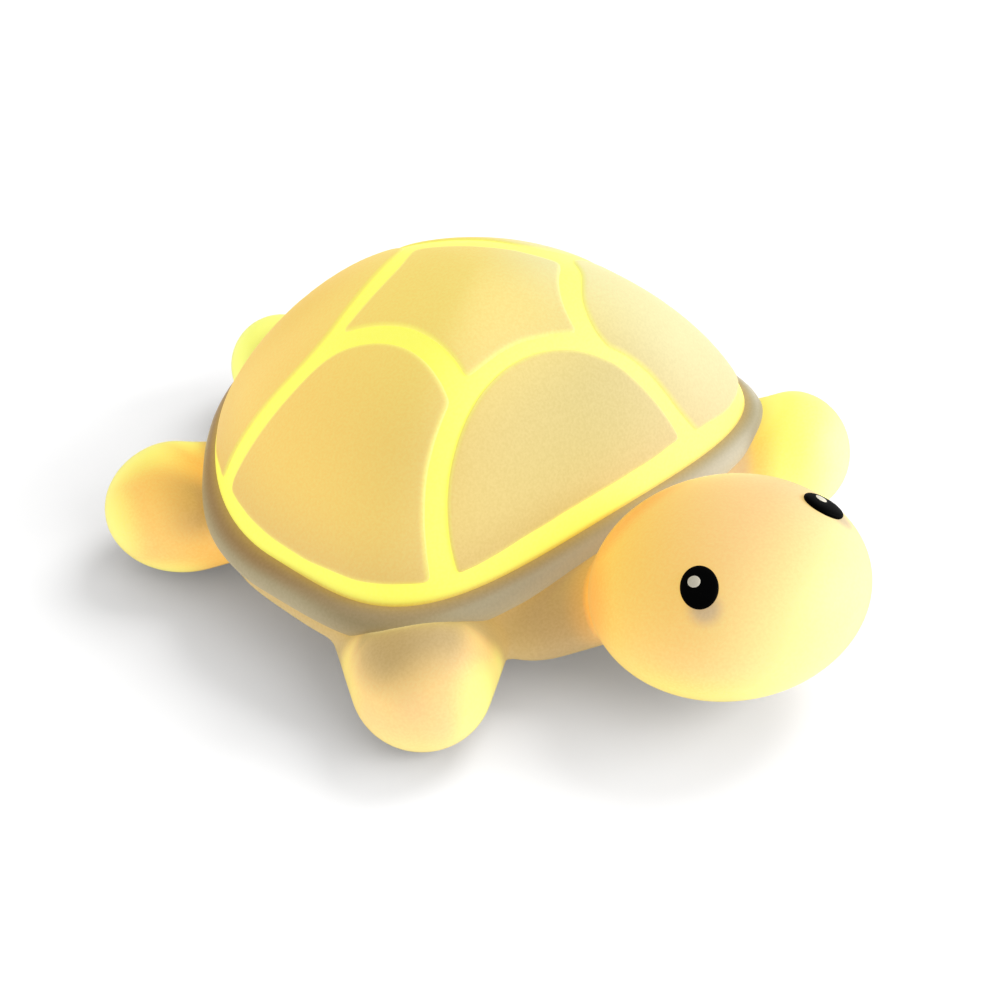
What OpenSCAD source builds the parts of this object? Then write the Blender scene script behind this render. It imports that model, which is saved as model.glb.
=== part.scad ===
// Turtle night light: a hollow silicone turtle that glows from a rechargeable core.
// It faces -Y, its left side is +X, and it stands on z = 0. All sizes are in millimetres.

/* [Shell] */
// Half width of the dome where it meets the rim
shell_half_w = 50; // [48:1:58]
// Reach of the dome ahead of its widest line
shell_front = 33; // [32:1:38]
// Reach of the dome behind its widest line
shell_back = 52; // [50:1:60]
// Squareness of the front half of the plan
front_square = 3.75; // [3:0.25:4.5]
// Squareness of the rear half of the plan
back_square = 1.75; // [1.7:0.05:2.2]
// Height of the dome above the rim
dome_h = 37; // [33:1:46]
// Roundness of the dome's crown
crown_round = 1.8; // [1.6:0.1:2.2]
// Fullness of the dome's flank, smaller is fuller
flank = 0.79; // [0.6:0.01:0.85]
// Wall of the dome
dome_wall = 2.4; // [1.8:0.2:3]

/* [Scutes] */
// Height of the raised plates above the dome
scute_h = 0.8; // [0.6:0.1:1.6]
// Bond line between a plate and the dome
scute_bond = 0.5; // [0.45:0.05:0.7]
// Width of the glowing seams between plates
seam_w = 4; // [3:0.2:6]
// Height of the plain band between the rim and the plates
band_h = 4.6; // [3:0.2:7]
// Fullness of the arch at the top of each outer plate
arch_full = 4; // [2.5:0.5:5]

/* [Rim] */
// Height of the rim bead
rim_h = 5; // [4.5:0.25:6.5]
// How far the bead stands out from the dome
rim_out = 3.5; // [3:0.1:5]
// Thickness of the rim inside the dome's outline
rim_in = 3.2; // [2.8:0.1:5]
// How far the bead's foot stands out past the belly
bead_lap = 0.2; // [0.1:0.05:0.4]

/* [Body] */
// Wall of the silicone body
skin_wall = 2.4; // [2:0.2:3]
// Overhang of the belly at the rim, past the dome's outline
belly_out = 2; // [1:0.2:2.6]
// How far the flat underside is set in from the dome's outline
belly_in = 14; // [12.5:0.5:14.5]
// Squareness of the belly's flank
belly_sq = 2.6; // [2:0.1:3.2]
// Height of the rim's foot above the floor
rim_foot = 15; // [14.5:0.25:17]
// Height of the soles above the floor
sole_z = 0.4; // [0.2:0.1:0.8]
// Centre of the head ahead of the shell's widest line
head_y = 61; // [58:1:66]
// Height of the head's centre
head_z = 20.5; // [19:0.5:26]
// Half width of the head
head_rx = 25.7; // [22:0.1:30]
// Half length of the head
head_ry = 22.7; // [20:0.1:26]
// Half height of the head
head_rz = 15.6; // [14:0.1:18]
// Half distance between the two sides of the chest
chest_x = 17; // [14:0.5:20]
// Chest, ahead of the shell's widest line
chest_y = 34; // [32:0.5:37]
// Roundness of the chest, sideways
chest_rx = 14; // [12:0.5:16]
// Roundness of the chest, forwards
chest_ry = 11.5; // [10:0.5:14]
// Half height of the chest
chest_rz = 5.8; // [5.2:0.2:6.4]
// Height of the chest's middle
chest_z = 8.9; // [8.4:0.1:9.2]
// Half width of the neck where it enters the head
neck_rx = 14; // [11:0.5:17]
// Half height of the neck where it enters the head
neck_rz = 6.6; // [6:0.2:8]
// Half width of a leg's root under the rim
leg_root_w = 15; // [12:0.5:16]
// Half height of a leg's root
leg_root_h = 5.6; // [4.8:0.2:6]
// Height of the middle of a leg's root
leg_root_z = 9.3; // [8.5:0.1:10]
// Half length of a leg's root
leg_root_l = 9.8; // [8:0.2:11]
// Distance of a leg's root behind the middle of its foot
leg_root_back = 14; // [12:0.5:16]
// Front foot, sideways from the middle
front_foot_x = 48; // [46:0.5:54]
// Front foot, ahead of the shell's widest line
front_foot_y = 35; // [33:0.2:40]
// Front foot half length
front_rl = 11.4; // [10.5:0.1:14]
// Front foot half width
front_rw = 13.3; // [11:0.1:15]
// Front foot half height
front_rh = 10.6; // [9.6:0.2:12]
// Front leg's turn forwards from sideways
front_turn = 42; // [20:1:60]
// Rear foot, sideways from the middle
rear_foot_x = 44; // [42:1:52]
// Rear foot, behind the shell's widest line
rear_foot_y = 32; // [28:1:38]
// Rear foot half length
rear_rl = 15.1; // [13:0.1:19]
// Rear foot half width
rear_rw = 14; // [11:0.1:15]
// Rear foot half height
rear_rh = 10.8; // [9:0.2:12]
// Rear leg's turn backwards from sideways
rear_turn = 22; // [10:1:50]
// Centre of the tail's tip ball behind the widest line
tail_y = 57; // [54:1:64]
// Height of the tail's tip ball
tail_z = 10.6; // [10:0.2:13]
// Radius of the tail's tip ball
tail_r = 10.2; // [8:0.2:10.4]
// Length of the tail from its tip ball to its root under the rim
tail_l = 22; // [18:1:26]
// Half width of the tail's root
tail_root_w = 12.2; // [10:0.2:13]
// Half height of the tail's root
tail_root_h = 6.1; // [5:0.1:6.4]

/* [Eyes] */
// Sideways distance of each eye from the middle
eye_x = 15.8; // [13:0.1:18]
// How far up the head's front the eyes sit, in degrees
eye_lift = 70; // [45:1:75]
// Radius of an eye
eye_r = 3.3; // [2.8:0.1:4.2]
// How far an eye is let into the head
eye_sunk = 0.9; // [0.7:0.1:1.2]
// How far an eye stands out
eye_out = 0.8; // [0.4:0.1:1.2]
// Radius of the pale dot on an eye
glint_r = 1; // [0.6:0.1:1.2]
// Thickness of the pale dot
glint_t = 0.6; // [0.4:0.1:0.8]
// Pale dot, along the eye from its middle
glint_x = -0.9; // [-1.2:0.05:1.2]
// Pale dot, across the eye from its middle
glint_y = 1.15; // [-1.2:0.05:1.2]
// How far the pale dot lies below the top of the eye
glint_sunk = 0.15; // [0.1:0.05:0.3]
// Radius of the stem behind an eye
eye_stem_r = 1.6; // [1.2:0.1:2]
// Length of the stem behind an eye
eye_stem = 1.1; // [0.9:0.1:1.5]

/* [Core] */
// Middle of the core behind the shell's widest line
core_y = 5; // [3:0.5:6]
// Half distance between the core's round ends
core_span = 12; // [11.5:0.5:13]
// Radius of the core's round ends
core_r = 22.5; // [22.25:0.25:23]
// Wall of the core's case
case_wall = 2; // [1.6:0.1:2.2]
// Thickness of the base cover's floor
floor_t = 2.4; // [2.2:0.1:2.8]
// Underside of the skin's lip above the floor
lip_z = 9; // [8.9:0.1:9.6]
// Thickness of the skin's lip, which grips the groove round the core
lip_t = 2; // [1.6:0.1:2.2]
// Depth of the groove
lip_reach = 1.6; // [1.2:0.1:1.8]
// Height of the anti-slip pads
pad_h = 1; // [0.8:0.1:1.4]
// Radius of an anti-slip pad
pad_r = 4.5; // [3.5:0.25:5]
// Half distance between pads across the lamp
pad_x = 7.5; // [6:0.5:8]
// Radius of the diffuser where it stands on the case
diffuser_r = 19; // [18.5:0.5:20.5]
// Height of the diffuser
diffuser_h = 14; // [12:0.5:15]
// Wall of the diffuser
diffuser_wall = 1.4; // [1:0.1:1.6]

// Screw bosses, sideways from the middle of the core
boss_x = 18; // [17.5:0.25:18.5]
// Screw bosses, ahead of and behind the middle of the core
boss_y = 16; // [15.8:0.1:16.4]
// Radius of a screw boss
boss_r = 2.6; // [2.2:0.1:2.6]
// Radius of a case screw's head
head_r = 2.4; // [2:0.1:2.6]
// Height of a case screw's head
head_h = 1.2; // [1:0.1:1.4]
// Length of a case screw under its head
screw_l = 8; // [6:0.5:10]
// Height of the step that centres the base cover
step_h = 1.2; // [0.8:0.1:1.4]
// Thickness of the collar above the skin's lip
collar_t = 2; // [1.5:0.1:2.5]

/* [Boards and battery] */
// Radius of the round board that carries the lights
led_board_r = 16; // [15.5:0.25:17]
// Thickness of both boards
board_t = 1.2; // [1:0.1:1.6]
// Number of lights
led_count = 8; // [6:1:10]
// Radius of the ring of lights
led_ring_r = 11; // [9:0.5:12]
// Length of a light
chip_l = 3.5; // [2.8:0.1:3.5]
// Width of a light
chip_w = 2.8; // [2.4:0.1:3]
// Height of a light
chip_h = 1; // [0.8:0.1:1.2]
// Underside of the control board above the base cover's floor
board_lift = 4.4; // [4.2:0.1:4.6]
// Width of the control board
board_w = 24; // [23:0.5:24]
// Right edge of the control board, from the middle of the core
board_x0 = 4; // [3.5:0.25:5]
// Left edge of the control board, from the middle of the core
board_x1 = 26; // [25.5:0.25:26.25]
// Battery length
cell_l = 23; // [20:0.5:23]
// Battery width
cell_w = 26; // [20:0.5:26]
// Battery thickness
cell_t = 9.4; // [9:0.1:10]
// Left end of the battery, from the middle of the core
cell_x1 = -2; // [-2.5:0.25:-1.5]
// Thickness of the foam tape under the battery
tape_t = 1; // [0.6:0.1:1.2]
// How far the tape stops short of the battery's edges
tape_in = 3; // [1:0.5:5]
// Radius of a post under the control board
post_r = 2.2; // [1.8:0.1:2.4]
// Radius of a board screw's head
board_head_r = 1.8; // [1.4:0.1:2]
// Height of a board screw's head
board_head_h = 1.2; // [0.8:0.1:1.6]
// Length of a board screw under its head
board_screw_l = 4.4; // [3:0.2:5]
// Pitch of the pins between the boards
pin_pitch = 2.54; // [2:0.01:2.6]
// Radius of a pin
pin_r = 0.35; // [0.3:0.05:0.45]
// Row of pins, sideways from the middle of the core
pin_x = 14.8; // [14.4:0.1:15]
// Radius of a battery lead
lead_r = 0.55; // [0.4:0.05:0.7]
// Half distance between the battery leads
lead_gap = 1.3; // [1:0.1:2]
// Length of the battery plug
plug_l = 6.8; // [6:0.2:7]
// Width of the battery plug
plug_w = 6.2; // [5.6:0.2:6.6]
// Height of the battery plug
plug_h = 2.4; // [2:0.1:2.8]
// Lead end of the battery plug, from the middle of the core
plug_x = 5; // [4.6:0.2:5.4]
// How far the plug stands out of its socket
plug_out = 2; // [1.6:0.2:2.4]
// Wall of the battery socket
hull_wall = 0.8; // [0.6:0.1:1]

/* [Button and charging port] */
// Distance of the button from the middle of the core
button_x = 16; // [15:0.5:17]
// Radius of the button
button_r = 5; // [4:0.1:5.5]
// Travel of the button
button_travel = 0.6; // [0.3:0.1:0.7]
// How far the button lies above the cover's underside
button_recess = 0.3; // [0.2:0.1:0.6]
// Side length of the switch
switch_w = 6; // [5:0.5:7]
// Height of the switch
switch_h = 2.2; // [2:0.1:2.4]
// Radius of the switch's plunger
plunger_r = 1.7; // [1.2:0.1:2]
// How far the plunger stands out of the switch
plunger_out = 0.8; // [0.7:0.1:0.9]
// Width of the lip that keeps the button in the cover
button_lip = 1.2; // [0.8:0.1:1.4]
// Thickness of that lip
button_lip_t = 0.6; // [0.5:0.1:0.7]
// Width of the charging port's mouth
port_w = 8.3; // [8.3:0.1:9]
// Height of the charging port's mouth
port_h = 2.5; // [2.5:0.1:2.8]
// Wall of the charging port's metal shell
port_shell = 0.35; // [0.3:0.05:0.4]
// Length of the charging port
port_l = 7.4; // [7:0.1:8]
// Thickness of the charging port's contact tongue
tongue_t = 0.7; // [0.5:0.1:0.8]
// Thickness of the soft flap over the port
flap_t = 1.2; // [1:0.1:1.4]
// How far the flap reaches past the port at each side
flap_over = 1.7; // [1.4:0.1:2]
// How far the flap's seat is sunk below its own thickness
flap_sunk = 0.7; // [0.5:0.1:0.9]

/* [Fits] */
// Gap between bonded or clamped soft faces
soft_gap = 0.1; // [0.05:0.05:0.2]
// Gap round pieces that drop into a pocket
drop_gap = 0.15; // [0.1:0.05:0.25]
// Gap round pieces that move
move_gap = 0.3; // [0.2:0.05:0.35]
// Gap round the switch's plunger
slide_gap = 0.05; // [0.03:0.01:0.1]
// Radius of a case screw's shank
screw_r = 1.1; // [0.9:0.1:1.3]
// Radius of a board screw's shank
board_screw_r = 0.8; // [0.7:0.1:0.9]
// Gap round a screw's shank
screw_gap = 0.05; // [0.05:0.01:0.1]

/* [Hidden] */

$fn = 48;
// Segments round the shell's plan
ring_n = 56;

// Levels, from the floor up
cover_z = pad_h;
floor_z = cover_z + floor_t;
case_z = floor_z;
board_z = floor_z + board_lift;
board_top = board_z + board_t;
dome_z = rim_foot + rim_h;
case_top = dome_z;
lid_z = case_top - case_wall;
led_top = case_top + board_t;

// Plan outline of the dome: distance from the middle in direction p, grown by g
function half_sq(p) = sin(p) < 0 ? front_square : back_square;
function half_len(p) = sin(p) < 0 ? shell_front : shell_back;
function reach(p, g = 0) = let(n = half_sq(p))
  pow(pow(abs(cos(p)) / (shell_half_w + g), n) + pow(abs(sin(p)) / (half_len(p) + g), n), -1 / n);
function plan(p, g = 0) = reach(p, g) * [cos(p), sin(p)];

// A point on the dome: direction p, share a of the way from crown to base, grown by g
function rise(a) = pow(max(0, 1 - pow(a, crown_round)), flank);
function on_dome(p, a, g = 0) = let(q = a * plan(p, g)) [q[0], q[1], dome_z + (dome_h + g) * rise(a)];
// Share a at which the dome is h above its base
function share_at(h) = pow(1 - pow(h / dome_h, 1 / flank), 1 / crown_round);

function mid(r) = [for (k = [0:2]) let(c = [for (q = r) q[k]]) c * [for (q = c) 1] / len(c)];

// A closed skin over a stack of rings of n points each, capped at both ends
module loft(rings) {
  n = len(rings[0]);
  m = len(rings);
  points = concat([for (r = rings) each r], [mid(rings[0]), mid(rings[m - 1])]);
  faces = concat(
    [for (i = [0:m - 2], j = [0:n - 1]) let(k = (j + 1) % n) each [
      [i * n + j, (i + 1) * n + k, (i + 1) * n + j], [i * n + j, i * n + k, (i + 1) * n + k]]],
    [for (j = [0:n - 1]) [n * m, (j + 1) % n, j]],
    [for (j = [0:n - 1]) [n * m + 1, (m - 1) * n + j, (m - 1) * n + (j + 1) % n]]);
  polyhedron(points, faces);
}

// A closed skin round a ring: the rings of the section's corners, joined last to first
module hoop(rings) {
  n = len(rings[0]);
  m = len(rings);
  polyhedron([for (r = rings) each r],
    [for (i = [0:m - 1], j = [0:n - 1]) let(k = (j + 1) % n, b = (i + 1) % m) each [
      [i * n + j, b * n + j, b * n + k], [i * n + j, b * n + k, i * n + k]]]);
}

function plan_ring(g, z) = [for (j = [0:ring_n - 1]) let(q = plan(j * 360 / ring_n, g)) [q[0], q[1], z]];
function dome_ring(a, g) = [for (j = [0:ring_n - 1]) on_dome(j * 360 / ring_n, a, g)];

// Carapace: the glowing dome, an even wall open at the bottom
dome_steps = 11;
module carapace() {
  out = [for (i = [1:dome_steps]) dome_ring(sin(90 * i / dome_steps), 0)];
  inn = [for (i = [dome_steps:-1:1]) dome_ring(sin(90 * i / dome_steps), -dome_wall)];
  color("#FCF58A") loft(concat(out, inn));
}

// Scutes: five outer plates with arched tops round one crown plate. Places on the dome are
// given by direction, in degrees, and share of the way from the crown to the base.
// Each seam: direction at its inner end, turn on its way to the base, share at its inner end
SEAMS = [[-60, 7, 0.6], [0, 0, 0.42], [92, 0, 0.36], [154, 0, 0.53], [217.5, 0, 0.54]];
// Share of the middle of the seam above each outer plate
ARCHES = [0.33, 0.27, 0.32, 0.4, 0.49];
plate_n = len(SEAMS);
plate_foot = share_at(band_h);
plate_lo = scute_bond;
plate_hi = scute_bond + scute_h;

// Direction of seam i at share a; the seam after the last is the first, one turn on
function seam_dir(i, a) =
  let(q = SEAMS[i % plate_n], k = min(1, (plate_foot - a) / (plate_foot - q[2])))
  q[0] + q[1] * (1 - k * k) + 360 * floor(i / plate_n);

// Outline of an outer plate, sideways from its middle and up from the band, each as a share:
// along the band, up the far side, over the arch and down again
function arch_up(c) = pow(1 - pow(abs(c), arch_full), 1 / arch_full);
knee = pow(0.5, 1 / arch_full);
arch_cols = 4;
band_cols = 14;
QUARTER = concat([for (k = [0:arch_cols - 1]) [arch_up(knee * k / arch_cols), knee * k / arch_cols]],
  [for (k = [arch_cols:-1:1]) [knee * k / arch_cols, arch_up(knee * k / arch_cols)]]);
OUTLINE = concat([for (k = [1:band_cols - 1]) [1 - 2 * k / band_cols, 0]],
  [for (q = QUARTER) [-q[0], q[1]]], [[0, 1]], [for (k = [len(QUARTER) - 1:-1:0]) QUARTER[k]]);
// Point of outer plate i at outline corner q, drawn in to the share k about its middle
function plate_at(i, q, k, g) =
  let(way = reach((SEAMS[i][0] + seam_dir(i + 1, 0)) / 2),
    up = 0.45 + k * (q[1] - 0.45),
    a = plate_foot - (plate_foot - ARCHES[i] - seam_w / 2 / way) * up,
    edge = asin(seam_w / 2 / (a * way)),
    from = seam_dir(i, a) + edge,
    to = seam_dir(i + 1, a) - edge)
  on_dome(from + (to - from) * (1 - k * q[0]) / 2, a, g);

// Edge of the crown plate in direction p, between seams i and i + 1
function plate_of(p) = [for (i = [0:plate_n - 1]) if (p >= SEAMS[i][0] && p < seam_dir(i + 1, 0)) i][0];
function crown_edge(p) =
  let(i = plate_of(p),
    u = 2 * (p - SEAMS[i][0]) / (seam_dir(i + 1, 0) - SEAMS[i][0]) - 1,
    tip = SEAMS[(u < 0 ? i : i + 1) % plate_n][2])
  ARCHES[i] + (tip - ARCHES[i]) * pow(abs(u), 3) - seam_w / 2 / reach(p);

// Each plate is a skin of rings drawn in about its middle, outside and then inside
SHARES = [0.04, 0.3, 0.55, 0.78, 1];
function there_and_back(outer, inner) =
  concat(outer, [for (k = [len(inner) - 1:-1:0]) inner[k]]);
module outer_plate(i) {
  function rings(g) = [for (k = SHARES) [for (q = OUTLINE) plate_at(i, q, k, g)]];
  loft(there_and_back(rings(plate_hi), rings(plate_lo)));
}

crown_cols = 40;
module crown_plate() {
  dirs = [for (j = [0:crown_cols - 1]) SEAMS[0][0] + j * 360 / crown_cols];
  function rings(g) = [for (k = SHARES) [for (p = dirs) on_dome(p, k * crown_edge(p), g)]];
  loft(there_and_back(rings(plate_hi), rings(plate_lo)));
}

module scutes() {
  color("#F3D68C") {
    for (i = [0:plate_n - 1]) outer_plate(i);
    crown_plate();
  }
}

// Rim: a rounded bead between the dome and the belly
// Section of the bead: distance outside the dome's outline, height above the rim's foot
bead_turns = 6;
bead_foot = belly_out + bead_lap;
function bead_out() = [for (i = [0:bead_turns]) let(t = -90 + 180 * i / bead_turns)
  [t < 0 ? bead_foot + (rim_out - bead_foot) * cos(t) : rim_out * cos(t), rim_h / 2 * (1 + sin(t))]];
module shell_rim() {
  section = concat([[-rim_in, 0]], bead_out(), [[-rim_in, rim_h]]);
  color("#AE9F7C") hoop([for (q = section) plan_ring(q[0], rim_foot + q[1])]);
}

// Body: belly, neck, head, legs and tail in one hollow silicone skin
belly_steps = 6;
function belly_ring(t, inset) =
  let(w = belly_in + belly_out - inset, foot = lip_z + (inset > 0 ? lip_t : 0))
  plan_ring(w * pow(cos(t), 2 / belly_sq) - belly_in,
    rim_foot - (rim_foot - foot) * pow(sin(t), 2 / belly_sq));
module belly(inset) {
  lift = inset > 0 ? [plan_ring(belly_out - inset, rim_foot + 1)] : [];
  loft(concat(lift, [for (i = [0:belly_steps]) belly_ring(90 * i / belly_steps, inset)]));
}

module ball(at, r, n) {
  translate(at) scale(r) sphere(1, $fn = n);
}

// A leg swells from a wide root under the rim to a round foot; wall is taken off all round
module leg(x, y, r, turn, wall, n) {
  hull() {
    translate([x, y, r[2]]) rotate(turn) scale(r - wall * [1, 1, 1]) sphere(1, $fn = n);
    translate([x - leg_root_back * cos(turn), y - leg_root_back * sin(turn), leg_root_z]) rotate(turn)
      scale([leg_root_l - wall, leg_root_w - wall, leg_root_h - wall]) sphere(1, $fn = 12);
  }
}
module legs(wall, n) {
  for (s = [0, 1]) mirror([s, 0, 0]) {
    leg(front_foot_x, -front_foot_y, [front_rl, front_rw, front_rh], -front_turn, wall, n);
    leg(rear_foot_x, rear_foot_y, [rear_rl, rear_rw, rear_rh], rear_turn, wall, n);
  }
}
module tail(wall, n) {
  hull() {
    ball([0, tail_y, tail_z], (tail_r - wall) * [1, 1, 1], n);
    ball([0, tail_y - tail_l, tail_z], [tail_root_w - wall, tail_r - wall, tail_root_h - wall], 10);
  }
}
// Chest and neck in one: two rounded sides under the rim, drawn in towards the head
module neck(wall, n) {
  hull() {
    for (s = [-1, 1]) ball([s * chest_x, -chest_y, chest_z],
      [chest_rx - wall, chest_ry - wall, chest_rz - wall], n);
    ball([0, head_ry / 2 - head_y, head_z - head_rz * 0.4],
      [neck_rx - wall, neck_rx - wall, neck_rz - wall], n);
  }
}
module head(wall, n) {
  ball([0, -head_y, head_z], [head_rx - wall, head_ry - wall, head_rz - wall], n);
}

// Where the rim and dome sit on the body
module shell_seat() {
  foot = [for (i = [bead_turns / 2:-1:0]) bead_out()[i]];
  loft(concat([plan_ring(rim_out + move_gap, dome_z + 30)],
    [for (q = foot) plan_ring(q[0] + move_gap, rim_foot + q[1])]));
}

// Plan of the core: two round ends joined by straight sides
module core_plan(r) {
  translate([0, core_y]) {
    for (s = [-1, 1]) translate([s * core_span, 0]) circle(r);
    square([2 * core_span, 2 * r], center = true);
  }
}

// Frame at an eye's seat, with local z along the head's normal
eye_k = sqrt(1 - pow(eye_x / head_rx, 2));
eye_at = [eye_x, -head_y - head_ry * eye_k * cos(eye_lift), head_z + head_rz * eye_k * sin(eye_lift)];
eye_n = [eye_x / pow(head_rx, 2), (eye_at[1] + head_y) / pow(head_ry, 2),
  (eye_at[2] - head_z) / pow(head_rz, 2)];
module eye_frame(s) {
  mirror([s < 0 ? 1 : 0, 0, 0]) translate(eye_at)
    rotate([0, acos(eye_n[2] / norm(eye_n)), atan2(eye_n[1], eye_n[0])]) children();
}

// Hollow of the limbs, which keeps a wall of skin round the core below the lip
module hollow() {
  difference() {
    union() {
      neck(skin_wall, 10);
      head(skin_wall, 16);
      legs(skin_wall, 10);
      tail(skin_wall, 10);
    }
    linear_extrude(lip_z + lip_t) core_plan(core_r + move_gap + skin_wall);
  }
}

module body_skin() {
  color("#F6D28A") difference() {
    union() {
      belly(0);
      neck(0, 16);
      head(0, 28);
      legs(0, 18);
      tail(0, 14);
    }
    belly(skin_wall);
    hollow();
    shell_seat();
    translate([0, 0, -1]) linear_extrude(lip_z + lip_t + 3)
      core_plan(core_r - lip_reach + drop_gap);
    translate([0, 0, -1]) linear_extrude(lip_z + 1 - soft_gap) core_plan(core_r + move_gap);
    translate([0, 0, lip_z + lip_t]) linear_extrude(rim_h) core_plan(core_r + move_gap);
    translate([0, 0, sole_z - rim_foot]) cylinder(r = 2 * (head_y + head_ry), h = rim_foot);
    for (s = [-1, 1]) eye_frame(s) {
      translate([0, 0, -eye_sunk]) cylinder(r = eye_r + drop_gap, h = 6);
      translate([0, 0, -skin_wall - 2]) cylinder(r = eye_stem_r + drop_gap, h = 4);
    }
  }
}

// Eyes: black domed studs with a stem through the skin, each with a pale inlaid dot
glint_at = [glint_x, glint_y];
cap_r = (pow(eye_r, 2) + pow(eye_out, 2)) / (2 * eye_out);
module eye_stud() {
  difference() {
    union() {
      intersection() {
        translate([0, 0, -eye_sunk + soft_gap]) cylinder(r = eye_r, h = eye_sunk + eye_out);
        translate([0, 0, eye_out - cap_r]) sphere(cap_r);
      }
      translate([0, 0, -eye_sunk - eye_stem]) cylinder(r = eye_stem_r, h = eye_stem + 0.3);
    }
    glint_pocket(soft_gap);
  }
}
module glint_pocket(gap) {
  translate([glint_at[0], glint_at[1], eye_out - glint_sunk - glint_t]) cylinder(r = glint_r + gap, h = 2);
}
module right_eye() {
  color("#040404") eye_frame(-1) eye_stud();
}
module left_eye() {
  color("#040404") eye_frame(1) eye_stud();
}
module eye_glints() {
  color("#B9B29E") for (s = [-1, 1]) eye_frame(s)
    translate([glint_at[0], glint_at[1], eye_out - glint_sunk - glint_t + soft_gap / 2])
      cylinder(r = glint_r, h = glint_t);
}

// Base cover: the floor of the core, with a step that centres it in the case
POSTS = [[8, -9], [23, 8.5], [23, -8.5]];
module boss_places() {
  for (x = [-1, 1], y = [-1, 1]) translate([x * boss_x, core_y + y * boss_y, 0]) children();
}
module post_places() {
  for (q = POSTS) translate([q[0], core_y + q[1], 0]) children();
}
room_r = core_r - lip_reach - case_wall;
module base_cover() {
  color("#D8D3C8") difference() {
    union() {
      translate([0, 0, cover_z]) linear_extrude(floor_t) core_plan(core_r);
      difference() {
        translate([0, 0, cover_z]) linear_extrude(floor_t + step_h) core_plan(room_r - drop_gap);
        translate([0, 0, floor_z]) linear_extrude(floor_t) core_plan(room_r - drop_gap - case_wall);
        boss_places() translate([0, 0, floor_z]) cylinder(r = boss_r + drop_gap, h = floor_t);
        translate([cell_x1 - cell_l - move_gap, core_y - cell_w / 2 - move_gap, floor_z])
          cube([cell_l + 2 * move_gap, cell_w + 2 * move_gap, floor_t]);
        translate([core_span, port_y - socket_w, floor_z]) cube([core_r, 2 * socket_w, floor_t]);
      }
      post_places() translate([0, 0, cover_z]) cylinder(r = post_r, h = board_z - cover_z);
    }
    boss_places() {
      translate([0, 0, cover_z - 1]) cylinder(r = head_r + drop_gap, h = head_h + 1);
      cylinder(r = screw_r + screw_gap, h = floor_z + 1);
    }
    post_places() translate([0, 0, floor_z - 0.6]) cylinder(r = board_screw_r + screw_gap, h = board_z);
    translate([button_x, core_y, 0]) cylinder(r = button_r + move_gap, h = floor_z + 1);
  }
}

// Anti-slip pads under the base cover
module anti_slip_pads() {
  color("#8C8678") for (x = [-1, 1], y = [-1, 1])
    translate([x * pad_x, core_y + y * boss_y, 0]) cylinder(r = pad_r, h = pad_h);
}

// Core case: a cup over the boards and battery, grooved for the skin's lip,
// with a flat recess at its left end for the charging port and its flap
port_y = core_y;
socket_w = port_w + 2 * port_shell;
socket_h = port_h + 2 * port_shell;
socket_z = board_z - socket_h;
flap_w = socket_w + 2 * flap_over;
port_x = core_span + core_r - flap_t - flap_sunk;
groove_z0 = lip_z - soft_gap;
groove_z1 = lip_z + lip_t + soft_gap;
// Pins between the boards stand in a row outside the ring of lights
pin_hole = pin_r + 0.45;
module pin_places(z) {
  for (i = [-1:1]) translate([pin_x, core_y + i * pin_pitch, z]) children();
}
module core_case() {
  color("#F2EFE8") difference() {
    union() {
      difference() {
        union() {
          translate([0, 0, case_z]) linear_extrude(groove_z0 - case_z) core_plan(core_r);
          translate([0, 0, groove_z1]) linear_extrude(collar_t) core_plan(core_r);
          translate([0, 0, case_z]) linear_extrude(case_top - case_z) core_plan(core_r - lip_reach);
        }
        translate([0, 0, case_z - 1]) linear_extrude(lid_z - case_z + 1) core_plan(room_r);
      }
      intersection() {
        boss_places() translate([0, 0, case_z]) cylinder(r = boss_r, h = lid_z + 0.5 - case_z);
        translate([0, 0, case_z]) linear_extrude(case_top - case_z) core_plan(core_r - lip_reach);
      }
    }
    boss_places() translate([0, 0, case_z - 1]) cylinder(r = screw_r + screw_gap, h = screw_l + 1);
    translate([port_x, port_y - flap_w / 2 - move_gap, case_z - 1])
      cube([core_r, flap_w + 2 * move_gap, groove_z0 - case_z + 1]);
    translate([core_span, port_y, socket_z + socket_h / 2]) rotate([90, 0, 90])
      linear_extrude(core_r) mouth_plan(socket_w + 2 * drop_gap, socket_h + 2 * drop_gap);
    pin_places(lid_z - 1) cylinder(r = pin_hole, h = case_wall + 2);
  }
}

// Screws that hold the cover to the case
module case_screws() {
  color("#B8B8B8") boss_places() {
    translate([0, 0, cover_z + soft_gap]) cylinder(r = head_r, h = head_h - soft_gap);
    translate([0, 0, cover_z + head_h - soft_gap]) cylinder(r = screw_r, h = screw_l);
  }
}

// Diffuser: a shallow milky dome over the lights
module diffuser() {
  r = (pow(diffuser_r, 2) + pow(diffuser_h, 2)) / (2 * diffuser_h);
  color("#FFFDF2") translate([0, core_y, case_top]) difference() {
    translate([0, 0, diffuser_h - r]) sphere(r);
    translate([0, 0, diffuser_h - r]) sphere(r - diffuser_wall);
    translate([0, 0, -2 * r]) cylinder(r = 2 * r, h = 2 * r);
  }
}

// Round board with the ring of lights
module led_board() {
  color("#F4F4F0") difference() {
    translate([0, core_y, case_top]) cylinder(r = led_board_r, h = board_t);
    pin_places(case_top - 1) cylinder(r = pin_r + soft_gap, h = board_t + 2);
  }
}
module led_chips() {
  color("#FFF3B0") for (i = [0:led_count - 1]) translate([0, core_y, led_top])
    rotate((i + 0.5) * 360 / led_count)
      translate([led_ring_r - chip_l / 2, -chip_w / 2, 0]) cube([chip_l, chip_w, chip_h]);
}
module led_pins() {
  color("#C9A94A") pin_places(board_top) cylinder(r = pin_r, h = led_top + 0.6 - board_top);
}

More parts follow.
